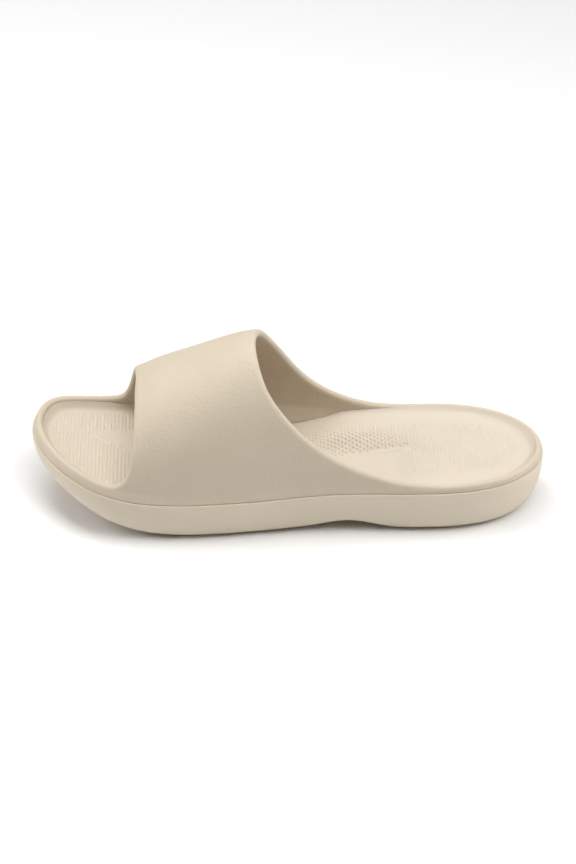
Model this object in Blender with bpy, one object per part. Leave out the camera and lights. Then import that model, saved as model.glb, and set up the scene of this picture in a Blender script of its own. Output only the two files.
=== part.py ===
"""House slipper for the left foot: an open-toe moulded foam slide made of a sole, an upper and a footbed.

Frame: X runs from the toe (-) to the heel (+), Y from the outer side (-) to the inner side (+), Z is up.
Sizes are in millimetres, and meshes are scaled to metres as they are made. "along" is the share of the
length behind the toe tip, and "girth" the share of the way up from the rim to the strap's crown.
"""

import math

import bmesh
import bpy
import numpy as np

MM = 0.001

# Driving sizes
LENGTH = 280.0
WALL = 4.5
GAP = 0.3
STRAP_POWER = 2.15
SIDEWALL_POWER = 2.4
LIP = 0.6
LIP_ROUND = 1.0
FOOTBED_EDGE_THICKNESS = 6.0
LEAN_HEIGHT = 4.5
JOINT_COVER = 1.0

# Faces round the outline, down the side wall, across the footbed, and in the upper
OUTLINE_FACES = 112
SIDEWALL_ROWS = 7
FOOTBED_COLUMNS = 20
TOE_COLUMNS = 13
STRAP_COLUMNS = 30
HEEL_COLUMNS = 13
STRAP_ROWS = 16
EDGE_ROWS = 5
ROW_CROWDING = 1.4

# Fineness of the curves that the faces are taken from
TURN_STEP = 1e-4
ARC_SAMPLES = 80
WELD = 1e-3
SHARP_ANGLE = math.radians(50)

# Parting line between sole and upper in plan: its reach to the outer and the inner side
PLAN = np.array(
    [
        # along, outer, inner
        (0.000, -10.0, 10.0),
        (0.030, 17.0, 32.5),
        (0.080, 34.0, 38.2),
        (0.150, 46.5, 43.2),
        (0.250, 50.5, 48.7),
        (0.400, 47.5, 45.5),
        (0.550, 42.0, 39.0),
        (0.700, 41.0, 39.5),
        (0.820, 40.0, 41.0),
        (0.920, 32.0, 34.0),
        (0.975, 19.0, 21.0),
        (1.000, -1.0, 1.0),
    ]
)

# Side profile: heights of the parting line and the ground line, rise and inward lean of the rim over the
# parting line, tuck of the ground line inside it, levels of the footbed's two edges over it, place of the
# flank that joins them (-1 at the outer edge, 1 at the inner edge), and depth of the footbed's dish
PROFILE_COLUMNS = (
    "along", "parting", "ground", "rim", "lean", "tuck", "outer_edge", "inner_edge", "flank", "dish"
)
PROFILE = np.array(
    [
        (0.00, 36.0, 19.0, 5.8, 2.2, 15.0, -0.8, -0.8, 0.3, 0.3),
        (0.08, 32.5, 13.0, 5.8, 2.2, 14.0, -0.9, -0.9, 0.3, 0.8),
        (0.16, 28.6, 6.3, 5.8, 2.0, 12.0, -1.4, -1.4, 0.3, 1.2),
        (0.24, 25.8, 1.3, 5.8, 1.6, 10.0, -2.6, -2.6, 0.3, 1.6),
        (0.32, 25.0, 0.0, 5.7, 1.2, 9.0, -4.4, -4.4, 0.3, 1.6),
        (0.44, 25.0, 0.0, 5.4, 1.0, 9.0, -5.6, -6.6, 0.3, 1.4),
        (0.54, 26.2, 1.2, 5.0, 0.8, 9.0, -6.0, -2.6, 0.3, 0.8),
        (0.62, 27.2, 5.0, 4.6, 0.8, 9.0, -5.5, 2.0, 0.3, 0.6),
        (0.72, 27.6, 0.0, 4.2, 0.8, 9.0, -2.6, 1.7, 0.3, 0.8),
        (0.78, 27.7, 0.0, 4.1, 0.8, 9.2, 0.0, 1.3, 0.1, 1.0),
        (0.86, 27.9, 0.0, 4.0, 0.8, 9.6, -0.2, 1.2, -0.3, 1.2),
        (0.94, 28.2, 0.0, 3.8, 0.8, 10.2, 0.3, 1.0, -0.4, 1.0),
        (1.00, 28.6, 2.5, 3.8, 0.8, 11.5, 1.0, 1.0, -0.4, 0.3),
    ]
)
FLANK_WIDTH = 0.42

# Height of the strap's crown, carried on past the strap to steer the walls of the rim
CROWN = np.array(
    [
        # along, height
        (0.00, 60.0),
        (0.20, 71.0),
        (0.25, 77.8),
        (0.30, 83.8),
        (0.44, 99.8),
        (0.60, 106.0),
        (1.00, 90.0),
    ]
)

# Front and rear edges of the strap from the rim up to the crown
FRONT_EDGE = np.array(
    [
        # girth, outer along, inner along
        (0.000, 0.157, 0.136),
        (0.012, 0.174, 0.154),
        (0.030, 0.185, 0.166),
        (0.090, 0.200, 0.179),
        (0.200, 0.211, 0.188),
        (0.450, 0.218, 0.199),
        (0.720, 0.217, 0.208),
        (0.940, 0.214, 0.213),
        (1.000, 0.214, 0.214),
    ]
)
REAR_EDGE = np.array(
    [
        # girth, outer along, inner along
        (0.000, 0.785, 0.737),
        (0.012, 0.742, 0.695),
        (0.030, 0.705, 0.660),
        (0.090, 0.645, 0.602),
        (0.180, 0.588, 0.553),
        (0.300, 0.540, 0.515),
        (0.450, 0.497, 0.485),
        (0.620, 0.460, 0.458),
        (0.800, 0.440, 0.440),
        (0.940, 0.432, 0.432),
        (1.000, 0.431, 0.431),
    ]
)


def eased(knots, values, at):
    """Values at places along the knots, eased so that they never overshoot a knot."""
    steps = np.diff(knots)
    slopes = np.diff(values) / steps
    tangents = np.concatenate([slopes[:1], np.zeros(len(steps) - 1), slopes[-1:]])
    for i in range(1, len(steps)):
        if slopes[i - 1] * slopes[i] > 0:
            ahead, behind = 2 * steps[i] + steps[i - 1], steps[i] + 2 * steps[i - 1]
            tangents[i] = (ahead + behind) / (ahead / slopes[i - 1] + behind / slopes[i])
    at = np.clip(np.asarray(at, float), knots[0], knots[-1])
    i = np.clip(np.searchsorted(knots, at, side="right") - 1, 0, len(steps) - 1)
    t = (at - knots[i]) / steps[i]
    return (
        (1 + 2 * t) * (1 - t) ** 2 * values[i]
        + t * (1 - t) ** 2 * steps[i] * tangents[i]
        + t**2 * (3 - 2 * t) * values[i + 1]
        - t**2 * (1 - t) * steps[i] * tangents[i + 1]
    )


def smooth(knots, values, at):
    """A natural cubic spline through the knots."""
    steps = np.diff(knots)
    matrix, right = np.eye(len(knots)), np.zeros(len(knots))
    for i in range(1, len(steps)):
        matrix[i, i - 1 : i + 2] = steps[i - 1], 2 * (steps[i - 1] + steps[i]), steps[i]
        right[i] = 6 * ((values[i + 1] - values[i]) / steps[i] - (values[i] - values[i - 1]) / steps[i - 1])
    bend = np.linalg.solve(matrix, right)
    i = np.clip(np.searchsorted(knots, at, side="right") - 1, 0, len(steps) - 1)
    past, left, step = at - knots[i], knots[i + 1] - at, steps[i]
    return (
        (bend[i] * left**3 + bend[i + 1] * past**3) / (6 * step)
        + (values[i] / step - bend[i] * step / 6) * left
        + (values[i + 1] / step - bend[i + 1] * step / 6) * past
    )


def profile(name, along):
    """One named column of the side profile."""
    return eased(PROFILE[:, 0], PROFILE[:, PROFILE_COLUMNS.index(name)], along)


def along_of(x):
    """Share of the length behind the toe tip."""
    return np.clip(x / LENGTH + 0.5, 0, 1)


def turn_of(along, side=1):
    """Turn round the outline: 0 at the toe, by the inner side to pi at the heel, on by the outer side."""
    turn = np.arccos(1 - 2 * np.clip(along, 0, 1))
    return turn if side > 0 else 2 * math.pi - turn


def parting_line(turns):
    """Plan points of the parting line."""
    knots = turn_of(PLAN[:, 0])
    loop = np.concatenate([knots, 2 * math.pi - knots[-2:0:-1]])
    reach = np.concatenate([PLAN[:, 2], -PLAN[-2:0:-1, 1]])
    rounds = np.concatenate([loop - 2 * math.pi, loop, loop + 2 * math.pi])
    return np.stack([-np.cos(turns) * LENGTH / 2, smooth(rounds, np.tile(reach, 3), turns)], axis=-1)


def outline(turns, inset=0.0):
    """Plan points inside the parting line by an inset square to it."""
    ahead = parting_line(turns + TURN_STEP) - parting_line(turns - TURN_STEP)
    ahead /= np.linalg.norm(ahead, axis=-1, keepdims=True)
    inward = np.stack([ahead[..., 1], -ahead[..., 0]], axis=-1)
    return parting_line(turns) + inward * np.broadcast_to(inset, np.shape(turns))[..., None]


def ring(inset, height_at):
    """A closed ring of points; its height comes from a function of the share along and the side."""
    turns = np.arange(OUTLINE_FACES) * 2 * math.pi / OUTLINE_FACES
    plan = outline(turns, inset(along_of(parting_line(turns)[:, 0])) if callable(inset) else inset)
    side = np.where(turns <= math.pi, 1, -1)
    return np.column_stack([plan, height_at(along_of(plan[:, 0]), side)])


def footbed_edge(along, side):
    """Top of the footbed beside the rim."""
    edge = np.where(side > 0, profile("inner_edge", along), profile("outer_edge", along))
    return profile("parting", along) + edge


def joint_inside(along, side):
    """Inner edge of the joint between sole and upper, out of sight below the footbed's edge."""
    return np.minimum(profile("parting", along), footbed_edge(along, side) - JOINT_COVER)


def basin_floor(along, side):
    """Floor of the sole's basin, which carries the footbed."""
    return footbed_edge(along, side) - FOOTBED_EDGE_THICKNESS - GAP


def footbed_top(along, across):
    """Height of the footbed; across runs from -1 at the outer edge to 1 at the inner edge."""
    low, high = footbed_edge(along, -1), footbed_edge(along, 1)
    share = np.clip((across - profile("flank", along)) / FLANK_WIDTH + 0.5, 0, 1)
    return low + (high - low) * share**2 * (3 - 2 * share) - profile("dish", along) * (1 - across**4)


def foam(name, colour, roughness):
    """A foam of one colour."""
    material = bpy.data.materials.new(name)
    material.use_nodes = True
    shader = material.node_tree.nodes["Principled BSDF"]
    shader.inputs["Base Color"].default_value = (*colour, 1)
    shader.inputs["Roughness"].default_value = roughness
    shader.inputs["Metallic"].default_value = 0.0
    return material


def middle_of_width():
    """Middle between the slipper's furthest points to the outer and the inner side."""
    across = ring(-LIP, footbed_edge)[:, 1]
    return (across.min() + across.max()) / 2


def finish(name, bm, material):
    """Turns a bmesh in millimetres into a named, smoothly shaded object in metres, centred across."""
    bmesh.ops.recalc_face_normals(bm, faces=bm.faces)
    bmesh.ops.translate(bm, vec=(0, -middle_of_width(), 0), verts=bm.verts)
    bmesh.ops.scale(bm, vec=(MM, MM, MM), verts=bm.verts)
    mesh = bpy.data.meshes.new(name)
    bm.to_mesh(mesh)
    bm.free()
    mesh.shade_smooth()
    mesh.set_sharp_from_angle(angle=SHARP_ANGLE)
    mesh.materials.append(material)
    obj = bpy.data.objects.new(name, mesh)
    bpy.context.scene.collection.objects.link(obj)


def add_ring(bm, points):
    """Adds points to a bmesh."""
    return [bm.verts.new(point) for point in points]


def skin(bm, first, second):
    """Faces between two closed rings of the same length."""
    for i in range(len(first)):
        bm.faces.new((first[i - 1], first[i], second[i], second[i - 1]))


def close_across(bm, loop):
    """Closes a ring with straight faces from its inner to its outer side."""
    half = len(loop) // 2
    for i in range(half):
        corners = dict.fromkeys((loop[i], loop[i + 1], loop[-i - 1], loop[-i]))
        bm.faces.new(tuple(corners))


def build_sole(material):
    """The sole: a side wall that tucks under, a bottom with toe spring and arch, a basin for the footbed."""
    bm = bmesh.new()
    shoulder = math.sin(math.pi / 4)
    rings = [
        ring(WALL, basin_floor),
        ring(WALL, lambda along, side: joint_inside(along, side) - GAP),
        ring(0.0, lambda along, side: profile("parting", along) - GAP),
        ring(
            -shoulder * LIP, lambda along, side: profile("parting", along) - GAP - (1 - shoulder) * LIP_ROUND
        ),
    ]
    for row in range(SIDEWALL_ROWS + 1):
        angle = math.pi / 2 * row / SIDEWALL_ROWS
        inward = 1 - math.cos(angle) ** (2 / SIDEWALL_POWER)
        down = math.sin(angle) ** (2 / SIDEWALL_POWER)

        def inset(along):
            return inward * profile("tuck", along) - (1 - inward) * LIP

        def height(along, side):
            top = profile("parting", along) - GAP - LIP_ROUND
            return top + down * (profile("ground", along) - top)

        rings.append(ring(inset, height))
    loops = [add_ring(bm, points) for points in rings]
    for first, second in zip(loops, loops[1:]):
        skin(bm, first, second)
    close_across(bm, loops[0])
    close_across(bm, loops[-1])
    finish("sole", bm, material)


def build_footbed(material):
    """The footbed: an insole with a dished and arched top that lies in the sole's basin, inside the rim."""
    bm = bmesh.new()
    rim = ring(WALL + GAP, footbed_edge)
    foot = ring(WALL + GAP, lambda along, side: basin_floor(along, side) + GAP)
    edge, base = add_ring(bm, rim), add_ring(bm, foot)
    skin(bm, base, edge)
    close_across(bm, base)
    rows = []
    for i in range(OUTLINE_FACES // 2 + 1):
        row = [edge[-i]]
        for across in np.linspace(-1, 1, FOOTBED_COLUMNS + 1)[1:-1]:
            point = rim[-i] + (rim[i] - rim[-i]) * (across + 1) / 2
            point[2] = footbed_top(along_of(point[0]), across)
            row.append(edge[i] if edge[i] is edge[-i] else bm.verts.new(point))
        rows.append(row + [edge[i]])
    for row, after in zip(rows, rows[1:]):
        for k in range(FOOTBED_COLUMNS):
            corners = dict.fromkeys((row[k], row[k + 1], after[k + 1], after[k]))
            bm.faces.new(tuple(corners))
    finish("footbed", bm, material)


def wall(along, girth, side, lift=1.0):
    """Points on the upper's outer face; a girth and a lift of 0 are on the parting line."""
    foot = parting_line(turn_of(along, side))
    middle = (parting_line(turn_of(along, 1)) + parting_line(turn_of(along, -1))) / 2
    inward_at = outline(turn_of(along, side), 1.0) - foot
    base, crown = profile("parting", along), eased(CROWN[:, 0], CROWN[:, 1], along)
    rim, lean = profile("rim", along) - WALL / 2, profile("lean", along)
    width = np.linalg.norm(middle - foot, axis=-1)
    angles = np.linspace(0, math.pi / 2, ARC_SAMPLES)
    inward, up = 1 - np.cos(angles) ** (2 / STRAP_POWER), np.sin(angles) ** (2 / STRAP_POWER)
    points = []
    for i in range(len(along)):
        rise = crown[i] - base[i]
        run = np.cumsum(np.hypot(np.diff(inward * width[i], prepend=0), np.diff(up * rise, prepend=0)))
        angle = np.interp(lift * rim[i] + girth[i] * (run[-1] - rim[i]), run, angles)
        height = rise * math.sin(angle) ** (2 / STRAP_POWER)
        plan = foot[i] + (middle[i] - foot[i]) * (1 - math.cos(angle) ** (2 / STRAP_POWER))
        plan = plan + inward_at[i] * lean[i] * min(height / LEAN_HEIGHT, 1) ** 2 * (1 - girth[i])
        points.append((*plan, base[i] + height))
    return np.array(points)


def edge_at(table, girth, side):
    """Share along of one edge of the strap."""
    return eased(table[:, 0], table[:, 2 if side > 0 else 1], girth)


def upper_patches(side):
    """Rows of points of the strap and of the rim round toe and heel, on one side."""
    shares = np.linspace(0, 1, STRAP_COLUMNS + 1)
    strap = []
    for row in range(-1, STRAP_ROWS + 1):
        girth = max(row / STRAP_ROWS, 0) ** ROW_CROWDING
        along = edge_at(FRONT_EDGE, girth, side) * (1 - shares) + edge_at(REAR_EDGE, girth, side) * shares
        strap.append(wall(along, girth + 0 * along, side, lift=float(row >= 0)))
    toe_end, heel_start = turn_of(edge_at(FRONT_EDGE, 0, side)), turn_of(edge_at(REAR_EDGE, 0, side))
    rims = []
    toe_turns = np.linspace(0, toe_end, TOE_COLUMNS + 1)
    heel_turns = np.linspace(heel_start, math.pi, HEEL_COLUMNS + 1)
    for turns in (toe_turns, heel_turns):
        along = (1 - np.cos(turns)) / 2
        rims.append([wall(along, 0 * along, side, lift) for lift in (0.0, 1.0)])
    return [strap, *rims]


def build_upper(material):
    """The upper: strap and rim in one hollow wall, open at the toe, at the heel and underneath."""
    bm = bmesh.new()
    row_of = bm.verts.layers.int.new("row")
    for side in (1, -1):
        for patch in upper_patches(side):
            rows = [add_ring(bm, points) for points in patch]
            for j, row in enumerate(rows):
                for vert in row:
                    vert[row_of] = j
            for low, high in zip(rows, rows[1:]):
                for i in range(len(low) - 1):
                    bm.faces.new((low[i], low[i + 1], high[i + 1], high[i]))
    bmesh.ops.remove_doubles(bm, verts=bm.verts, dist=WELD)
    bmesh.ops.recalc_face_normals(bm, faces=bm.faces)
    thicken(bm, row_of)
    finish("upper", bm, material)


def border_frames(bm):
    """For each vertex on a border of the face, the direction in the face that leads out of it."""
    line, away = {}, {}
    for edge in bm.edges:
        if not edge.is_boundary:
            continue
        loop = edge.link_loops[0]
        start, end = loop.vert, loop.link_loop_next.vert
        along = (end.co - start.co).normalized()
        for vert in (start, end):
            line[vert] = line.get(vert, along * 0) + along
    for vert, along in line.items():
        away[vert] = along.normalized().cross(vert.normal).normalized()
    return away


def thicken(bm, row_of):
    """Gives the outer face its wall, with a flat foot and rounded edges at the openings."""
    bm.normal_update()
    verts, faces = list(bm.verts), list(bm.faces)
    border = [edge for edge in bm.edges if edge.is_boundary]
    away = border_frames(bm)
    inner, arcs = {}, {}
    for vert in verts:
        normal = vert.normal.copy()
        if vert[row_of] == 0:
            normal.z = 0
            normal.normalize()
        inner[vert] = bm.verts.new(vert.co - normal * WALL)
        if vert[row_of] == 0:
            inner[vert].co.z = joint_inside(along_of(inner[vert].co.x), inner[vert].co.y)
    for vert, out in away.items():
        arcs[vert] = [vert]
        for k in range(1, EDGE_ROWS if vert[row_of] else 1):
            angle = math.pi * k / EDGE_ROWS
            offset = vert.normal * (math.cos(angle) - 1) + out * math.sin(angle)
            arcs[vert].append(bm.verts.new(vert.co + offset * WALL / 2))
        arcs[vert].append(inner[vert])
    for face in faces:
        bm.faces.new([inner[vert] for vert in reversed(face.verts)])
    for edge in border:
        one, two = arcs[edge.verts[0]], arcs[edge.verts[1]]
        for k in range(len(one) - 1):
            bm.faces.new((one[k], two[k], two[k + 1], one[k + 1]))


def main():
    """Builds the slipper."""
    for obj in list(bpy.data.objects):
        bpy.data.objects.remove(obj, do_unlink=True)
    build_sole(foam("sole foam", (0.71, 0.60, 0.48), 0.6))
    build_upper(foam("upper foam", (0.70, 0.60, 0.47), 0.6))
    build_footbed(foam("footbed foam", (0.72, 0.62, 0.49), 0.65))


main()
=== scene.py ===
"""Looks of the left house slipper: foam sole, foam upper and dimpled footbed in a plain white studio.

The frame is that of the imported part, in metres: X from the toe (-) to the heel (+), Y from the outer (-) to
the inner side (+), Z up. Sizes that read better in millimetres are multiplied by MM.
"""

from __future__ import annotations

import logging
import math
from collections.abc import Callable, Iterator
from contextlib import contextmanager
from dataclasses import dataclass
from enum import Enum
from typing import Any

import bmesh
import bpy
import numpy as np
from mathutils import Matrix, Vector

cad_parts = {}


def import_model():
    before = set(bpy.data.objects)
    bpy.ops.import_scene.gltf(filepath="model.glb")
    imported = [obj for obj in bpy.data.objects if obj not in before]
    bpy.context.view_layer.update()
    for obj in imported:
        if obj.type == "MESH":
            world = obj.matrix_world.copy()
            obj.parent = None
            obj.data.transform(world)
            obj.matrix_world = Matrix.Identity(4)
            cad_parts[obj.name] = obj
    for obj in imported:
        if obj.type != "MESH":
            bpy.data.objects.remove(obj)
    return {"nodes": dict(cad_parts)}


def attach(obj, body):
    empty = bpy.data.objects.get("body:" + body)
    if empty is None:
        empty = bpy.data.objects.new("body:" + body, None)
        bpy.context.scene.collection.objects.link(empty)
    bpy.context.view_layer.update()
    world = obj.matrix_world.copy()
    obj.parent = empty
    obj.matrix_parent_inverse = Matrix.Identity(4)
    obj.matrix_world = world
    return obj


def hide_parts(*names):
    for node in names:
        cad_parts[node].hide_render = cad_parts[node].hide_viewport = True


LOG = logging.getLogger("slipper")
MM = 0.001
BODY = "root"
WELD = 1e-6
TINY = 1e-12
QUAD_BEND = math.radians(60)
QUAD_SKEW = math.radians(130)
MIX_FIRST, MIX_SECOND, MIX_RESULT = 6, 7, 2
CELL_SIDES = 6
CELL_WELD = 0.01
EASE = 0.5
Colour = tuple[float, float, float]
Pair = tuple[float, float]
Triple = tuple[float, float, float]


class Node(Enum):
    """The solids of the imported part, which are also its material slots."""

    SOLE = "sole"
    UPPER = "upper"
    FOOTBED = "footbed"


class Element(Enum):
    """What is picked in edit mode."""

    VERTEX = "VERT"
    EDGE = "EDGE"
    FACE = "FACE"


class Socket:
    """A value in a shader, with Python's operators for its maths."""

    def __init__(self, shader: Shader, socket: bpy.types.NodeSocket) -> None:
        """Wraps one output socket.

        Args:
            shader: the shader that the socket belongs to.
            socket: the output socket.
        """
        self.shader = shader
        self.socket = socket

    def _math(self, operation: str, first: Any, second: Any) -> Socket:
        """Adds a Math node.

        Args:
            operation: the node's operation.
            first: its first value or link.
            second: its second value or link.

        Returns:
            The node's result.
        """
        return self.shader.add("ShaderNodeMath", {"operation": operation}, {0: first, 1: second})

    def __add__(self, other: Any) -> Socket:
        """Sum."""
        return self._math("ADD", self, other)

    def __radd__(self, other: Any) -> Socket:
        """Sum with a number on the left."""
        return self._math("ADD", other, self)

    def __sub__(self, other: Any) -> Socket:
        """Difference."""
        return self._math("SUBTRACT", self, other)

    def __rsub__(self, other: Any) -> Socket:
        """Difference from a number."""
        return self._math("SUBTRACT", other, self)

    def __mul__(self, other: Any) -> Socket:
        """Product."""
        return self._math("MULTIPLY", self, other)

    def __rmul__(self, other: Any) -> Socket:
        """Product with a number on the left."""
        return self._math("MULTIPLY", other, self)


class Shader:
    """A material under construction."""

    def __init__(self, name: str) -> None:
        """Starts a material with one Principled shader.

        Args:
            name: the material's name.
        """
        self.material = bpy.data.materials.new(name)
        self.material.use_nodes = True
        self.tree = self.material.node_tree
        self.surface = self.tree.nodes["Principled BSDF"]

    def add(
        self,
        kind: str,
        settings: dict[str, Any] | None = None,
        inputs: dict[int | str, Any] | None = None,
        output: int | str = 0,
    ) -> Socket:
        """Adds a node.

        Args:
            kind: the node's type.
            settings: the node's own settings, set first.
            inputs: values or links of its sockets.
            output: the output that is wanted.

        Returns:
            That output.
        """
        node = self.tree.nodes.new(kind)
        for name, value in (settings or {}).items():
            setattr(node, name, value)
        self._feed(node, inputs or {})
        return Socket(self, node.outputs[output])

    def _feed(self, node: bpy.types.Node, inputs: dict[int | str, Any]) -> None:
        """Sets or links a node's inputs.

        Args:
            node: the node.
            inputs: values or links by socket.
        """
        for key, value in inputs.items():
            if isinstance(value, Socket):
                self.tree.links.new(value.socket, node.inputs[key])
            else:
                node.inputs[key].default_value = value

    def finish(self, inputs: dict[int | str, Any]) -> bpy.types.Material:
        """Feeds the Principled shader.

        Args:
            inputs: values or links of its sockets.

        Returns:
            The material.
        """
        self._feed(self.surface, inputs)
        return self.material


@dataclass(frozen=True)
class FoamFinish:
    """A matt moulded foam.

    Attributes:
        name: the material's name.
        colour: its main colour.
        shade: the colour of its darker clouds and pores.
        roughness: how matt it is.
        cell: width of the grain's cells.
        pore: width of the finest texture.
        cloud: width of the soft clouds in its colour.
        depth: height of the grain.
        grain: share of the cells in the grain's height; the pores have the rest.
        veil: share of the clouds in the colour's mottle; the pores have the rest.
        clear: how much of the mottle stays clear of the darker colour.
        uneven: spread of the roughness.
        sheen: strength of the gloss.
    """

    name: str
    colour: Colour
    shade: Colour
    roughness: float = 0.55
    cell: float = 1.1 * MM
    pore: float = 0.35 * MM
    cloud: float = 14 * MM
    depth: float = 0.035 * MM
    grain: float = 0.65
    veil: float = 0.6
    clear: float = 0.2
    uneven: float = 0.1
    sheen: float = 0.4

    def material(self) -> bpy.types.Material:
        """Makes the material.

        Returns:
            The foam's material.
        """
        shader = Shader(self.name)
        place = shader.add("ShaderNodeTexCoord", output="Object")
        cells = shader.add(
            "ShaderNodeTexVoronoi", {"feature": "SMOOTH_F1"}, {"Vector": place, "Scale": 1 / self.cell}
        )
        pores = shader.add(
            "ShaderNodeTexNoise", inputs={"Vector": place, "Scale": 1 / self.pore, "Detail": 2.0}
        )
        clouds = shader.add(
            "ShaderNodeTexNoise", inputs={"Vector": place, "Scale": 1 / self.cloud, "Detail": 3.0}
        )
        height = self.grain * cells + (1 - self.grain) * pores
        mottle = self.veil * clouds + (1 - self.veil) * pores - self.clear
        colour = shader.add(
            "ShaderNodeMix",
            {"data_type": "RGBA"},
            {0: mottle, MIX_FIRST: (*self.colour, 1), MIX_SECOND: (*self.shade, 1)},
            output=MIX_RESULT,
        )
        bump = shader.add("ShaderNodeBump", inputs={"Height": height, "Distance": self.depth})
        return shader.finish(
            {
                "Base Color": colour,
                "Roughness": self.roughness - self.uneven / 2 + self.uneven * pores,
                "Specular IOR Level": self.sheen,
                "Normal": bump,
            }
        )


class Workshop:
    """Blender's modelling tools, used on one piece at a time."""

    @staticmethod
    def alone(piece: bpy.types.Object) -> None:
        """Selects one piece and nothing else.

        Args:
            piece: the piece.
        """
        bpy.ops.object.select_all(action="DESELECT")
        piece.select_set(True)
        bpy.context.view_layer.objects.active = piece

    @staticmethod
    @contextmanager
    def edit(piece: bpy.types.Object, element: Element) -> Iterator[None]:
        """Edit mode on one piece, with nothing picked at the start.

        Args:
            piece: the piece.
            element: what is picked.

        Yields:
            Nothing, while edit mode is on.
        """
        Workshop.alone(piece)
        bpy.ops.object.mode_set(mode="EDIT")
        bpy.ops.mesh.select_mode(type=element.value)
        bpy.ops.mesh.select_all(action="DESELECT")
        yield
        bpy.ops.object.mode_set(mode="OBJECT")

    @staticmethod
    def pick_faces(piece: bpy.types.Object, wanted: Callable[[bmesh.types.BMFace], bool]) -> None:
        """Picks faces of the piece that is in edit mode.

        Args:
            piece: the piece.
            wanted: says which faces.
        """
        mesh = bmesh.from_edit_mesh(piece.data)
        mesh.faces.index_update()
        for face in mesh.faces:
            face.select_set(bool(wanted(face)))
        bmesh.update_edit_mesh(piece.data)

    @staticmethod
    def modify(piece: bpy.types.Object, kind: str, **settings: Any) -> None:
        """Adds a modifier and applies it.

        Args:
            piece: the piece.
            kind: the modifier's type.
            settings: the modifier's settings.
        """
        modifier = piece.modifiers.new(kind.lower(), kind)
        for name, value in settings.items():
            setattr(modifier, name, value)
        Workshop.alone(piece)
        bpy.ops.object.modifier_apply(modifier=modifier.name)

    @staticmethod
    def subdivide(piece: bpy.types.Object, levels: int) -> None:
        """Smooths a piece with a subdivision surface.

        Args:
            piece: the piece.
            levels: how often its faces are divided.
        """
        Workshop.modify(piece, "SUBSURF", levels=levels, render_levels=levels)

    @staticmethod
    def copy_of(solid: bpy.types.Object, name: str) -> bpy.types.Object:
        """Copies a solid of the part as one welded mesh of four-sided faces.

        Args:
            solid: the solid.
            name: the copy's name.

        Returns:
            The copy.
        """
        piece = bpy.data.objects.new(name, solid.data.copy())
        bpy.context.scene.collection.objects.link(piece)
        piece.data.materials.clear()
        Workshop.alone(piece)
        bpy.ops.mesh.customdata_custom_splitnormals_clear()
        with Workshop.edit(piece, Element.FACE):
            bpy.ops.mesh.select_all(action="SELECT")
            bpy.ops.mesh.remove_doubles(threshold=WELD)
            bpy.ops.mesh.tris_convert_to_quads(face_threshold=QUAD_BEND, shape_threshold=QUAD_SKEW)
        return piece

    @staticmethod
    def dress(piece: bpy.types.Object, finish: FoamFinish, node: Node) -> bpy.types.Object:
        """Gives a piece its finish and puts it in its solid's place.

        Args:
            piece: the piece.
            finish: its foam.
            node: the solid that it stands for.

        Returns:
            The piece.
        """
        piece.data.materials.append(finish.material())
        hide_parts(node.value)
        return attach(piece, BODY)


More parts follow.
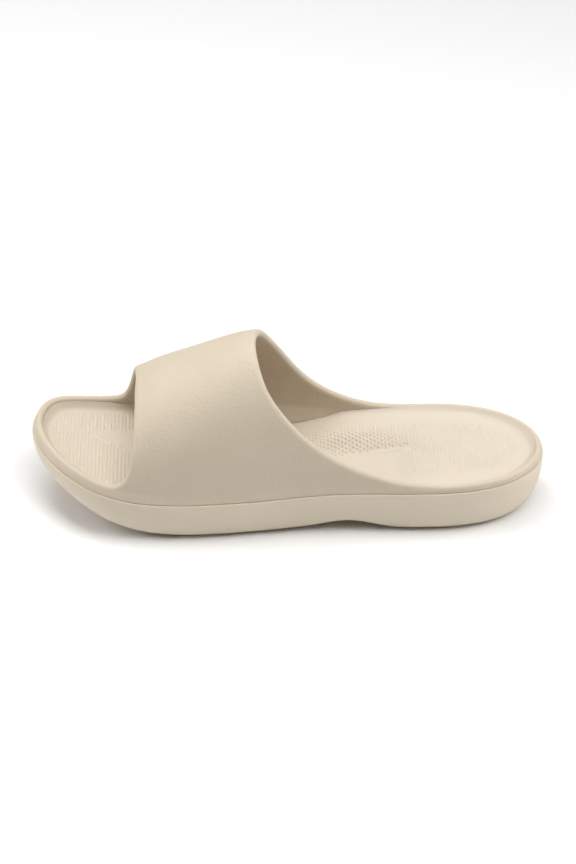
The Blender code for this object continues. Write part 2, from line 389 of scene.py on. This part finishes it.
@dataclass
class Upper:
    """Strap and rim, moulded in one.

    Attributes:
        finish: its foam.
        joint: how far its foot is let down, which leaves only a fine crease over the sole.
        foot: height below which its foot lies.
        underside: how squarely a face of the foot looks down, at least.
        edge: rounding of its sharp foot along the parting line.
        smoothing: how often its faces are divided.
        inside: how squarely the wall's inside looks across the foot, at least.
        fold: height of the fold inside, below which the wall leans in to the footbed.
        lean: how far it leans in, as a share of the height below the fold.
        soft: height over which the fold is rounded.
        reach: stretch of the fold, as rows of place along and share of the lean.
        bed: edge of the footbed, as rows of place along, height on the inner side and on the outer side.
        tuck: height below that edge over which the wall goes back to its foot, out of sight.
        node: the solid that it stands for.
    """

    finish: FoamFinish
    joint: float = 0.06 * MM
    foot: float = 40 * MM
    underside: float = 0.35
    edge: float = 0.2 * MM
    smoothing: int = 2
    inside: float = 0.3
    fold: float = 32.2 * MM
    lean: float = 0.34
    soft: float = 0.8 * MM
    reach: tuple[Pair, ...] = (
        (-80 * MM, 0.0),
        (-55 * MM, 1.0),
        (20 * MM, 1.0),
        (48 * MM, 0.0),
    )
    bed: tuple[Triple, ...] = (
        (-80 * MM, 24.3 * MM, 24.3 * MM),
        (-60 * MM, 21.6 * MM, 21.5 * MM),
        (-40 * MM, 19.7 * MM, 20.1 * MM),
        (-20 * MM, 18.5 * MM, 19.5 * MM),
        (0 * MM, 20.9 * MM, 19.7 * MM),
        (20 * MM, 26.2 * MM, 20.7 * MM),
        (48 * MM, 29.3 * MM, 23.2 * MM),
    )
    tuck: float = 2 * MM
    node: Node = Node.UPPER

    def build(self, solid: bpy.types.Object) -> bpy.types.Object:
        """Makes the piece from its solid.

        Args:
            solid: the upper's solid.

        Returns:
            The finished upper.
        """
        piece = Workshop.copy_of(solid, "upper_foam")
        with Workshop.edit(piece, Element.FACE):
            Workshop.pick_faces(
                piece,
                lambda face: face.normal.z < -self.underside and face.calc_center_median().z < self.foot,
            )
            bpy.ops.transform.translate(value=(0, 0, -self.joint))
            bpy.ops.mesh.region_to_loop()
            bpy.ops.mesh.bevel(offset=self.edge, segments=2)
        Workshop.subdivide(piece, self.smoothing)
        self._lean_wall(piece)
        Workshop.alone(piece)
        bpy.ops.object.shade_smooth()
        return Workshop.dress(piece, self.finish, self.node)

    def _lean_wall(self, piece: bpy.types.Object) -> None:
        """Leans the lower part of the wall in towards the footbed, which leaves a soft fold inside.

        Args:
            piece: the upper.
        """
        bed, reach = np.array(self.bed), np.array(self.reach)
        for vertex in piece.data.vertices:
            x, y, z = vertex.co
            side = math.copysign(1.0, y)
            if vertex.normal.y * side > -self.inside or z > self.fold:
                continue
            low = np.interp(x, bed[:, 0], bed[:, 1 if side > 0 else 2])
            drop = self.fold - max(z, low)
            drop = drop * drop / (2 * self.soft) if drop < self.soft else drop - self.soft / 2
            share = np.clip((z - low) / self.tuck + 1, 0, 1) * np.interp(x, reach[:, 0], reach[:, 1])
            vertex.co.y -= side * self.lean * drop * share
        piece.data.update()


@dataclass
class Sole:
    """The thick sole with its tread.

    Attributes:
        finish: its foam.
        edge: rounding of its sharp edges in the joint.
        crease: bend above which an edge is sharp.
        hem: width of the band of faces that holds the shape of the bottom's edge.
        hem_look: how squarely a face inside the hem looks down, at least.
        hem_area: area that such a face has, at least.
        smoothing: how often its faces are divided.
        shading: bend above which an edge stays hard.
        level: how squarely the bottom looks down, at least, where it is grooved.
        tread: places along the foot where the grooved stretches start and end.
        pitch: distance between grooves.
        groove: width of a groove.
        depth: depth of a groove.
        rounding: rounding of a groove's edges, as a share of its depth.
        margin: distance of a groove's ends from the bottom's edge.
        node: the solid that it stands for.
    """

    finish: FoamFinish
    edge: float = 0.2 * MM
    crease: float = math.radians(28)
    hem: float = 1.5 * MM
    hem_look: float = 0.8
    hem_area: float = 30 * MM * MM
    smoothing: int = 2
    shading: float = math.radians(40)
    level: float = 0.9
    tread: tuple[Pair, ...] = ((-0.088, -0.008), (0.048, 0.122))
    pitch: float = 8 * MM
    groove: float = 2.6 * MM
    depth: float = 0.9 * MM
    rounding: float = 0.45
    margin: float = 9 * MM
    node: Node = Node.SOLE

    def build(self, solid: bpy.types.Object) -> bpy.types.Object:
        """Makes the piece from its solid.

        Args:
            solid: the sole's solid.

        Returns:
            The finished sole.
        """
        piece = Workshop.copy_of(solid, "sole_foam")
        with Workshop.edit(piece, Element.FACE):
            Workshop.pick_faces(
                piece, lambda face: face.normal.z < -self.hem_look and face.calc_area() > self.hem_area
            )
            bpy.ops.mesh.inset(thickness=self.hem)
        Workshop.modify(
            piece, "BEVEL", width=self.edge, segments=2, limit_method="ANGLE", angle_limit=self.crease
        )
        Workshop.subdivide(piece, self.smoothing)
        for vertex in piece.data.vertices:
            vertex.co.z = max(vertex.co.z, 0.0)
        self._cut_tread(piece)
        Workshop.alone(piece)
        bpy.ops.object.shade_smooth_by_angle(angle=self.shading)
        return Workshop.dress(piece, self.finish, self.node)

    def _bottom(self, piece: bpy.types.Object) -> np.ndarray:
        """Points of the bottom.

        Args:
            piece: the sole.

        Returns:
            Their places, one row each.
        """
        return np.array([vertex.co for vertex in piece.data.vertices if vertex.normal.z < -self.level])

    def _bar(self, place: Vector, length: float) -> bpy.types.Object:
        """A rounded bar that cuts one groove.

        Args:
            place: its middle, on the bottom.
            length: its length across the foot.

        Returns:
            The bar.
        """
        bpy.ops.object.select_all(action="DESELECT")
        bpy.ops.mesh.primitive_cube_add(size=1.0, location=place, scale=(self.groove, length, 2 * self.depth))
        bar = bpy.context.active_object
        bpy.ops.object.transform_apply(location=True, rotation=True, scale=True)
        Workshop.modify(bar, "BEVEL", width=self.rounding * self.depth, segments=2)
        return bar

    def _cut_tread(self, piece: bpy.types.Object) -> None:
        """Cuts plain cross grooves under forefoot and heel.

        Args:
            piece: the sole.
        """
        bottom = self._bottom(piece)
        bars = []
        for start, end in self.tread:
            for x in np.arange(start, end, self.pitch):
                near = bottom[np.abs(bottom[:, 0] - x) < self.groove]
                low, high = near[:, 1].min() + self.margin, near[:, 1].max() - self.margin
                place = Vector((x, (low + high) / 2, float(np.median(near[:, 2]))))
                bars.append(self._bar(place, high - low))
        Workshop.alone(bars[0])
        for bar in bars:
            bar.select_set(True)
        bpy.ops.object.join()
        cutter = bpy.context.active_object
        Workshop.modify(piece, "BOOLEAN", operation="DIFFERENCE", solver="EXACT", object=cutter)
        bpy.data.objects.remove(cutter)


@dataclass
class Footbed:
    """The insole: a dished top with staggered dimples between smooth pads.

    Attributes:
        finish: its foam.
        rim: the finished upper, whose rim stands round the footbed.
        above: height of the flat sheet of cells, before it is laid on the top.
        pitch: distance between neighbouring dimples.
        turn: turn of the dimples' columns from square to the foot.
        wide: width of a dimple.
        wall: width of a dimple's wall, as a share of its width.
        depth: depth of the deepest dimples.
        shallow: share of that depth along the foot, as rows of place along and share.
        levels: steps in which the dimples get shallower at the edge of their field.
        fade: width over which they do, as a share of the plain border.
        look_up: how squarely a face of the top looks up, at least.
        smoothing: how often the faces of the plain form are divided.
        easing: how often the sheet of cells is eased over the bends of the plain form.
        shading: bend above which an edge stays hard.
        whole: area of a cell that isn't cut or pressed, at least, as a share of the pitch squared.
        plain: height of crest or leaf below which a cell counts as plain.
        fillet: hollow fillet along the rim, as rows of place along, inset of its top, height and width.
        fillet_steps: rings of the fillet, as shares of its width.
        slit: width of the slit between fillet and rim.
        seam: least distance between the fillet and the sheet of cells.
        border: plain border inside the edge, as rows of place along, inner width and outer width.
        crest: line at the foot of the arch where the outer pad starts, as places along and across.
        crest_height: height of the pad's edge there.
        crest_width: width of that edge, and of the groove beside it.
        crest_swell: share of that height from the crest's start, over its last bend, to just behind its end.
        crest_beside: how far edge and groove lie beside the line, as shares of that width.
        crest_groove: depth of the groove, as a share of the edge's height.
        pad_end: place along the foot where the outer pad ends.
        pad_fade: length before and behind the pad over which the dimples fade.
        leaf: hollow under the toes, as the places along of its two ends.
        leaf_across: places across of its two ends.
        leaf_half: its half width.
        leaf_round: how round its ends are; the smaller, the rounder.
        leaf_depth: depth of that hollow.
        leaf_ridge: height of the ridge along its outer edge.
        leaf_wall: width of the wall between ridge and hollow.
        leaf_skirt: plain strip beside the ridge, as a share of that wall.
        node: the solid that it stands for.
    """

    finish: FoamFinish
    rim: bpy.types.Object
    above: float = 100 * MM
    pitch: float = 2.29 * MM
    turn: float = math.radians(3.8)
    wide: float = 1.4 * MM
    wall: float = 0.3
    depth: float = 0.82 * MM
    shallow: tuple[Pair, ...] = ((-80 * MM, 1.0), (0 * MM, 0.75), (60 * MM, 0.95))
    levels: int = 6
    fade: float = 0.25
    look_up: float = 0.5
    smoothing: int = 2
    easing: int = 2
    shading: float = math.radians(65)
    whole: float = 0.7
    plain: float = 0.02 * MM
    fillet: tuple[tuple[float, float, float, float], ...] = (
        (-135 * MM, 1.0 * MM, 4.2 * MM, 3.4 * MM),
        (-100 * MM, 1.0 * MM, 4.0 * MM, 3.4 * MM),
        (-84 * MM, 0.8 * MM, 1.6 * MM, 2.4 * MM),
        (-54 * MM, 4.2 * MM, 1.0 * MM, 2.0 * MM),
        (-20 * MM, 5.4 * MM, 0.5 * MM, 1.5 * MM),
        (0 * MM, 5.0 * MM, 0.2 * MM, 1.2 * MM),
        (14 * MM, 4.2 * MM, 0.3 * MM, 1.2 * MM),
        (34 * MM, 2.2 * MM, 1.2 * MM, 2.4 * MM),
        (56 * MM, -0.5 * MM, 2.1 * MM, 3.2 * MM),
        (135 * MM, -0.8 * MM, 2.2 * MM, 3.4 * MM),
    )
    fillet_steps: tuple[float, ...] = (0.0, 0.2, 0.45, 0.7, 1.0)
    slit: float = 0.08 * MM
    seam: float = 0.2 * MM
    border: tuple[Triple, ...] = (
        (-135 * MM, 4.5 * MM, 4.5 * MM),
        (-54 * MM, 5 * MM, 6 * MM),
        (14 * MM, 14 * MM, 12 * MM),
        (68 * MM, 11 * MM, 14 * MM),
        (108 * MM, 8.8 * MM, 12 * MM),
        (135 * MM, 8.8 * MM, 8.8 * MM),
    )
    crest: tuple[Pair, ...] = (
        (18 * MM, -1 * MM),
        (32 * MM, 2.2 * MM),
        (48.6 * MM, 4.6 * MM),
        (65.5 * MM, 5.8 * MM),
    )
    crest_height: float = 1.5 * MM
    crest_width: float = 1.6 * MM
    crest_swell: tuple[float, ...] = (0, 0.7, 1, 0.6, 0)
    crest_beside: Pair = (-0.8, 0.9)
    crest_groove: float = 0.9
    pad_end: float = 58 * MM
    pad_fade: float = 12 * MM
    leaf: Pair = (-107 * MM, -58 * MM)
    leaf_across: Pair = (10 * MM, 18 * MM)
    leaf_half: float = 8 * MM
    leaf_round: float = 0.8
    leaf_depth: float = 0.6 * MM
    leaf_ridge: float = 0.6 * MM
    leaf_wall: float = 3.0 * MM
    leaf_skirt: float = 0.6
    node: Node = Node.FOOTBED

    def build(self, solid: bpy.types.Object) -> bpy.types.Object:
        """Makes the piece from its solid.

        Args:
            solid: the footbed's solid.

        Returns:
            The finished footbed.
        """
        body = Workshop.copy_of(solid, "footbed_foam")
        top = self._lift_top(body)
        outline = self._outline(top)
        sheet = self._honeycomb(outline)
        self._trim(sheet, outline)
        Workshop.modify(
            sheet,
            "SHRINKWRAP",
            target=top,
            wrap_method="PROJECT",
            use_project_z=True,
            use_negative_direction=True,
            use_positive_direction=False,
        )
        self._ease(sheet)
        self._press_dimples(sheet, outline)
        self._sculpt(sheet)
        self._turn_up_edge(body, top)
        bpy.data.objects.remove(top)
        self._close(body, sheet)
        Workshop.alone(body)
        bpy.ops.object.shade_smooth_by_angle(angle=self.shading)
        return Workshop.dress(body, self.finish, self.node)

    def _lift_top(self, body: bpy.types.Object) -> bpy.types.Object:
        """Takes the top off the plain form, and smooths both.

        Args:
            body: the plain form, which keeps its side and its base.

        Returns:
            The smooth top.
        """
        with Workshop.edit(body, Element.FACE):
            Workshop.pick_faces(body, lambda face: face.normal.z > self.look_up)
            bpy.ops.mesh.separate(type="SELECTED")
        top = next(piece for piece in bpy.context.selected_objects if piece is not body)
        for piece in (body, top):
            Workshop.subdivide(piece, self.smoothing)
        return top

    @staticmethod
    def _outline(top: bpy.types.Object) -> np.ndarray:
        """Edge of the top in plan.

        Args:
            top: the smooth top.

        Returns:
            Start and end of each stretch of the edge.
        """
        mesh = bmesh.new()
        mesh.from_mesh(top.data)
        stretches = [[vert.co.xy for vert in edge.verts] for edge in mesh.edges if edge.is_boundary]
        mesh.free()
        return np.array(stretches)

    @staticmethod
    def _inside(outline: np.ndarray, points: np.ndarray) -> np.ndarray:
        """How far points lie inside the edge, in plan.

        Args:
            outline: the edge's stretches.
            points: the points.

        Returns:
            Distances, negative outside.
        """
        start, run = outline[:, 0], outline[:, 1] - outline[:, 0]
        offset = points[:, None, :2] - start[None]
        share = np.clip((offset * run).sum(-1) / (run * run).sum(-1), 0, 1)
        distance = np.linalg.norm(offset - share[..., None] * run, axis=-1).min(1)
        low, high = outline[:, :, 1].min(1), outline[:, :, 1].max(1)
        level = points[:, None, 1]
        spans = (low <= level) & (level < high)
        rise = np.where(np.abs(run[:, 1]) < TINY, TINY, run[:, 1])
        cross = start[:, 0] + (level - start[:, 1]) * run[:, 0] / rise
        odd = (spans & (cross > points[:, None, 0])).sum(1) % 2
        return np.where(odd == 1, distance, -distance)

    def _honeycomb(self, outline: np.ndarray) -> bpy.types.Object:
        """A flat sheet of six-sided cells, one for each dimple.

        Args:
            outline: the stretches of the edge that the sheet covers.

        Returns:
            The sheet, above the footbed.
        """
        low, high = outline.reshape(-1, 2).min(0), outline.reshape(-1, 2).max(0)
        column = self.pitch * math.sqrt(3) / 2
        spare = (high - low).max() * math.sin(abs(self.turn)) + self.pitch
        bpy.ops.object.select_all(action="DESELECT")
        bpy.ops.mesh.primitive_circle_add(
            vertices=CELL_SIDES,
            radius=self.pitch / math.sqrt(3),
            fill_type="NGON",
            rotation=(0, 0, math.radians(90)),
        )
        sheet = bpy.context.active_object
        bpy.ops.object.transform_apply(location=True, rotation=True, scale=True)
        with Workshop.edit(sheet, Element.FACE):
            bpy.ops.mesh.select_all(action="SELECT")
            bpy.ops.mesh.duplicate_move(TRANSFORM_OT_translate={"value": (column, self.pitch / 2, 0)})
        across = math.ceil((high[1] - low[1] + 2 * spare) / self.pitch)
        along = math.ceil((high[0] - low[0] + 2 * spare) / (2 * column))
        for count, step in ((across, (0, self.pitch, 0)), (along, (2 * column, 0, 0))):
            Workshop.modify(
                sheet,
                "ARRAY",
                count=count,
                use_relative_offset=False,
                use_constant_offset=True,
                constant_offset_displace=step,
            )
        with Workshop.edit(sheet, Element.FACE):
            bpy.ops.mesh.select_all(action="SELECT")
            bpy.ops.mesh.remove_doubles(threshold=CELL_WELD * self.pitch)
        bpy.ops.object.origin_set(type="ORIGIN_GEOMETRY", center="BOUNDS")
        sheet.location = (*((low + high) / 2), self.above)
        sheet.rotation_euler = (0, 0, self.turn)
        bpy.ops.object.transform_apply(location=True, rotation=True, scale=True)
        return sheet

    def _trim(self, sheet: bpy.types.Object, outline: np.ndarray) -> None:
        """Cuts the sheet back to the inner edge of the fillet.

        Args:
            sheet: the flat sheet of cells.
            outline: the edge's stretches.
        """
        fillet = np.array(self.fillet)
        with Workshop.edit(sheet, Element.FACE):
            mesh = bmesh.from_edit_mesh(sheet.data)
            places = np.array([vert.co for vert in mesh.verts])
            taken = np.interp(places[:, 0], fillet[:, 0], fillet[:, 1] + fillet[:, 3])
            room = self._inside(outline, places) - taken
            Workshop.pick_faces(sheet, lambda face: min(room[vert.index] for vert in face.verts) < self.seam)
            bpy.ops.mesh.delete(type="FACE")

    def _ease(self, sheet: bpy.types.Object) -> None:
        """Eases the sheet over bends that its cells are too wide to follow.

        Args:
            sheet: the sheet of cells, on the footbed's top.
        """
        with Workshop.edit(sheet, Element.VERTEX):
            self._pick_border()
            bpy.ops.mesh.select_all(action="INVERT")
            bpy.ops.mesh.vertices_smooth(factor=EASE, repeat=self.easing)

    def _press_dimples(self, sheet: bpy.types.Object, outline: np.ndarray) -> None:
        """Presses a dimple into each cell of the field, and divides the whole cells of crest and leaf.

        Args:
            sheet: the sheet of cells, on the footbed's top.
            outline: the edge's stretches.
        """
        with Workshop.edit(sheet, Element.FACE):
            mesh = bmesh.from_edit_mesh(sheet.data)
            shares = self._shares(outline, np.array([face.calc_center_median() for face in mesh.faces]))
            for share in np.unique(shares[shares > 0]).tolist():
                cells = set(np.flatnonzero(shares == share).tolist())
                Workshop.pick_faces(sheet, lambda face: face.index in cells)
                bpy.ops.mesh.inset(thickness=(self.pitch - self.wide) / 2, use_individual=True)
                bpy.ops.mesh.inset(
                    thickness=self.wall * self.wide, depth=-share * self.depth, use_individual=True
                )
            Workshop.pick_faces(sheet, self._shaped)
            bpy.ops.mesh.poke()
            bpy.ops.mesh.subdivide(number_cuts=1)
        LOG.info("%d dimples", np.count_nonzero(shares))

    def _shaped(self, face: bmesh.types.BMFace) -> bool:
        """Says whether a face is a whole cell on crest or leaf.

        Args:
            face: the face.

        Returns:
            True for such a cell.
        """
        middle = face.calc_center_median()
        whole = len(face.verts) == CELL_SIDES and face.calc_area() > self.whole * self.pitch**2
        return whole and abs(float(self._relief(middle.x, middle.y))) > self.plain

    def _leaf_edges(self, x: np.ndarray) -> tuple[np.ndarray, np.ndarray]:
        """Outer and inner edge of the leaf.

        Args:
            x: places along the foot.

        Returns:
            The edges' places across it.
        """
        run = np.clip((x - self.leaf[0]) / (self.leaf[1] - self.leaf[0]), 0, 1)
        middle = np.interp(run, (0, 1), self.leaf_across)
        half = self.leaf_half * np.clip(np.sin(math.pi * run), 0, 1) ** self.leaf_round
        return middle - half, middle + half

    def _relief(self, x: np.ndarray, y: np.ndarray) -> np.ndarray:
        """Height of crest and leaf over the plain top.

        Args:
            x: places along the foot.
            y: places across it.

        Returns:
            The heights.
        """
        crest = np.array(self.crest)
        line = np.interp(x, crest[:, 0], crest[:, 1])
        end = crest[-1, 0]
        stops = (crest[0, 0], crest[-2, 0], end - self.crest_width, end, end + self.crest_width)
        swell = self.crest_height * np.interp(x, stops, self.crest_swell)
        beside = (y - line) / self.crest_width
        ridge, groove = (np.exp(-((beside - middle) ** 2)) for middle in self.crest_beside)
        low, high = self._leaf_edges(x)
        ends = np.minimum(x - self.leaf[0], self.leaf[1] - x)
        fade_leaf = np.clip(ends / (2 * self.leaf_wall), 0, 1)
        wall = np.clip((y - low) / self.leaf_wall, 0, 1)
        hollow = wall * wall * (3 - 2 * wall) * np.clip((high - y) / np.maximum(high - low, MM), 0, 1)
        edge = np.exp(-((2 * (y - low) / self.leaf_wall) ** 2))
        leaf = self.leaf_ridge * edge - self.leaf_depth * hollow
        return swell * (ridge - self.crest_groove * groove) + fade_leaf * leaf

    def _sculpt(self, sheet: bpy.types.Object) -> None:
        """Shapes crest and leaf.

        Args:
            sheet: the sheet of cells, on the footbed's top.
        """
        places = np.empty(len(sheet.data.vertices) * 3, np.float32)
        sheet.data.vertices.foreach_get("co", places)
        places = places.reshape(-1, 3)
        places[:, 2] += self._relief(places[:, 0], places[:, 1])
        sheet.data.vertices.foreach_set("co", places.ravel())
        sheet.data.update()

    def _turn_up_edge(self, body: bpy.types.Object, top: bpy.types.Object) -> None:
        """Turns the edge of the top up along the rim, ring by ring.

        Args:
            body: the form, open at the top.
            top: the smooth top.
        """
        fillet = np.array(self.fillet)
        with Workshop.edit(body, Element.EDGE):
            self._pick_border()
            done = 0.0
            for step in self.fillet_steps:
                if step > 0:
                    bpy.ops.mesh.extrude_edges_move()
                mesh = bmesh.from_edit_mesh(body.data)
                ring = [vert for vert in mesh.verts if vert.select]
                inward = [self._inward(vert) for vert in ring]
                for vert, way in zip(ring, inward):
                    start, lift, width = (np.interp(vert.co.x, fillet[:, 0], fillet[:, i]) for i in (1, 2, 3))
                    place = vert.co + way * (start if step == 0 else (step - done) * width)
                    _, floor, _, _ = top.closest_point_on_mesh(place)
                    place.z = floor.z + lift * (1 - step) ** 2
                    if step == 0:
                        _, wall, _, _ = self.rim.closest_point_on_mesh(place)
                        reach = wall - place
                        place += reach.normalized() * (reach.length - self.slit)
                    vert.co = place
                bmesh.update_edit_mesh(body.data)
                done = step

    @staticmethod
    def _inward(vert: bmesh.types.BMVert) -> Vector:
        """Direction from the edge to the inside, in plan.

        Args:
            vert: a point of the border that is picked.

        Returns:
            The direction.
        """
        first, last = (edge.other_vert(vert).co for edge in vert.link_edges if edge.select)
        run = last - first
        way = Vector((-run.y, run.x, 0)).normalized()
        return way if way.dot(vert.co) < 0 else -way

    @staticmethod
    def _pick_border() -> None:
        """Picks the open edges of the piece in edit mode."""
        bpy.ops.mesh.select_non_manifold(
            extend=False, use_wire=False, use_multi_face=False, use_non_contiguous=False, use_verts=False
        )

    @staticmethod
    def _close(body: bpy.types.Object, sheet: bpy.types.Object) -> None:
        """Joins the sheet of cells to the form's side.

        Args:
            body: the form, open at the top.
            sheet: the sheet.
        """
        Workshop.alone(body)
        sheet.select_set(True)
        bpy.ops.object.join()
        with Workshop.edit(body, Element.EDGE):
            Footbed._pick_border()
            bpy.ops.mesh.fill(use_beauty=True)
            bpy.ops.mesh.select_all(action="SELECT")
            bpy.ops.mesh.normals_make_consistent(inside=False)

    def _shares(self, outline: np.ndarray, centres: np.ndarray) -> np.ndarray:
        """Says how deep the dimple of each cell is.

        Args:
            outline: the edge's stretches.
            centres: the cells' middles.

        Returns:
            Shares of the full depth, in steps, and 0 for a plain cell.
        """
        x, y = centres[:, 0], centres[:, 1]
        border, crest = np.array(self.border), np.array(self.crest)
        inner, outer = (np.interp(x, border[:, 0], border[:, i]) for i in (1, 2))
        share = (self._inside(outline, centres) / np.where(y > 0, inner, outer) - 1) / self.fade
        above = y - np.interp(x, crest[:, 0], crest[:, 1])
        beyond = np.maximum(x - self.pad_end, crest[0, 0] - x) / self.pad_fade
        share = np.where(above < self.crest_width, np.minimum(share, beyond), share)
        on_crest = (x > crest[0, 0]) & (x < crest[-1, 0] + self.pitch)
        on_crest &= (above > -2 * self.crest_width) & (above < self.crest_width)
        low, high = self._leaf_edges(x)
        on_leaf = (x > self.leaf[0]) & (x < self.leaf[1])
        on_leaf &= (y > low - self.leaf_skirt * self.leaf_wall) & (y < high)
        share[on_crest | on_leaf] = 0
        share = np.clip(share, 0, 1) * np.interp(x, *np.array(self.shallow).T)
        return np.ceil(self.levels * share) / self.levels


@dataclass(frozen=True)
class Panel:
    """A soft lamp.

    Attributes:
        name: its name.
        place: its middle.
        size: its width and height.
        power: its power in watts.
        colour: its colour.
    """

    name: str
    place: Triple
    size: Pair
    power: float
    colour: Colour = (1.0, 1.0, 1.0)

    def build(self, aim: Vector) -> None:
        """Puts the lamp up.

        Args:
            aim: the point that it shines at.
        """
        bpy.ops.object.light_add(type="AREA", location=self.place)
        lamp = bpy.context.active_object
        lamp.name = self.name
        lamp.rotation_euler = (aim - Vector(self.place)).to_track_quat("-Z", "Y").to_euler()
        lamp.data.shape = "RECTANGLE"
        lamp.data.size, lamp.data.size_y = self.size
        lamp.data.energy = self.power
        lamp.data.color = self.colour


@dataclass
class Studio:
    """White floor, soft light from above and the photo's camera.

    Attributes:
        aim: the point that the camera looks at.
        azimuth: the camera's turn round the slipper.
        elevation: its angle over the floor.
        distance: its distance from the aim.
        lens: its focal length in millimetres on a sensor of 36 mm.
        floor: the floor's size.
        clearance: how far the floor lies below the sole.
        paper: the floor's colour.
        matt: the floor's roughness.
        daylight: strength of the light from all round.
        panels: the lamps.
    """

    aim: Triple = (0.65 * MM, 0.69 * MM, 38.5 * MM)
    azimuth: float = math.radians(1.0)
    elevation: float = math.radians(35.0)
    distance: float = 1143.6 * MM
    lens: float = 87.29
    floor: float = 12.0
    clearance: float = 0.2 * MM
    paper: Colour = (0.9, 0.9, 0.9)
    matt: float = 0.9
    daylight: float = 0.004
    panels: tuple[Panel, ...] = (
        Panel("top softbox", (0.0, 0.0, 1.2), (2.0, 0.5), 15.6),
        Panel("near softbox", (0.0, -0.4, 1.2), (2.0, 0.5), 2.4),
        Panel("back panel", (0.0, 1.3, 0.9), (1.6, 0.5), 3.0),
        Panel("toe panel", (-1.3, 0.0, 0.8), (1.0, 1.0), 9.5),
        Panel("heel panel", (1.3, 0.0, 0.8), (1.0, 1.0), 10.5),
    )

    def build(self) -> None:
        """Makes floor, light and camera."""
        bpy.context.scene.view_settings.view_transform = "Standard"
        self._lay_floor()
        self._light()
        self._place_camera()

    def _lay_floor(self) -> None:
        """Lays the floor under the slipper."""
        bpy.ops.object.select_all(action="DESELECT")
        bpy.ops.mesh.primitive_plane_add(size=self.floor, location=(0, 0, -self.clearance))
        floor = bpy.context.active_object
        floor.name = "floor"
        paper = Shader("floor paper")
        floor.data.materials.append(paper.finish({"Base Color": (*self.paper, 1), "Roughness": self.matt}))

    def _light(self) -> None:
        """Puts up the lamps and even light all round."""
        world = bpy.data.worlds.new("studio")
        bpy.context.scene.world = world
        world.use_nodes = True
        world.node_tree.nodes["Background"].inputs["Strength"].default_value = self.daylight
        world.node_tree.nodes["Background"].inputs["Color"].default_value = (1, 1, 1, 1)
        for panel in self.panels:
            panel.build(Vector(self.aim))

    def _place_camera(self) -> None:
        """Sets up the photo's camera."""
        back = Vector(
            (
                math.sin(self.azimuth) * math.cos(self.elevation),
                -math.cos(self.azimuth) * math.cos(self.elevation),
                math.sin(self.elevation),
            )
        )
        bpy.ops.object.camera_add(location=Vector(self.aim) + back * self.distance)
        camera = bpy.context.active_object
        camera.rotation_euler = (-back).to_track_quat("-Z", "Y").to_euler()
        camera.data.lens = self.lens
        bpy.context.scene.camera = camera


def make(part: Upper | Sole | Footbed, nodes: dict[str, bpy.types.Object]) -> bpy.types.Object:
    """Builds one piece and reports it.

    Args:
        part: the piece's sub-assembly.
        nodes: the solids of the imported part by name.

    Returns:
        The finished piece.
    """
    piece = part.build(nodes[part.node.value])
    LOG.info("%s stands for %s with %d faces", piece.name, part.node.value, len(piece.data.polygons))
    return piece


def main() -> None:
    """Builds the slipper and its studio."""
    logging.basicConfig(level=logging.INFO, format="%(name)s: %(message)s")
    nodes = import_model()["nodes"]
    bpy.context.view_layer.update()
    strap_foam = FoamFinish(
        "strap foam", (0.645, 0.556, 0.434), (0.585, 0.496, 0.374), cell=1.4 * MM, depth=0.22 * MM
    )
    sole_foam = FoamFinish("sole foam", (0.735, 0.64, 0.51), (0.695, 0.60, 0.47), depth=0.02 * MM)
    insole_foam = FoamFinish(
        "insole foam", (0.678, 0.596, 0.485), (0.648, 0.566, 0.455), roughness=0.45, depth=0.015 * MM
    )
    upper = make(Upper(strap_foam), nodes)
    make(Sole(sole_foam), nodes)
    make(Footbed(insole_foam, rim=upper), nodes)
    Studio().build()


if __name__ == "__main__":
    main()
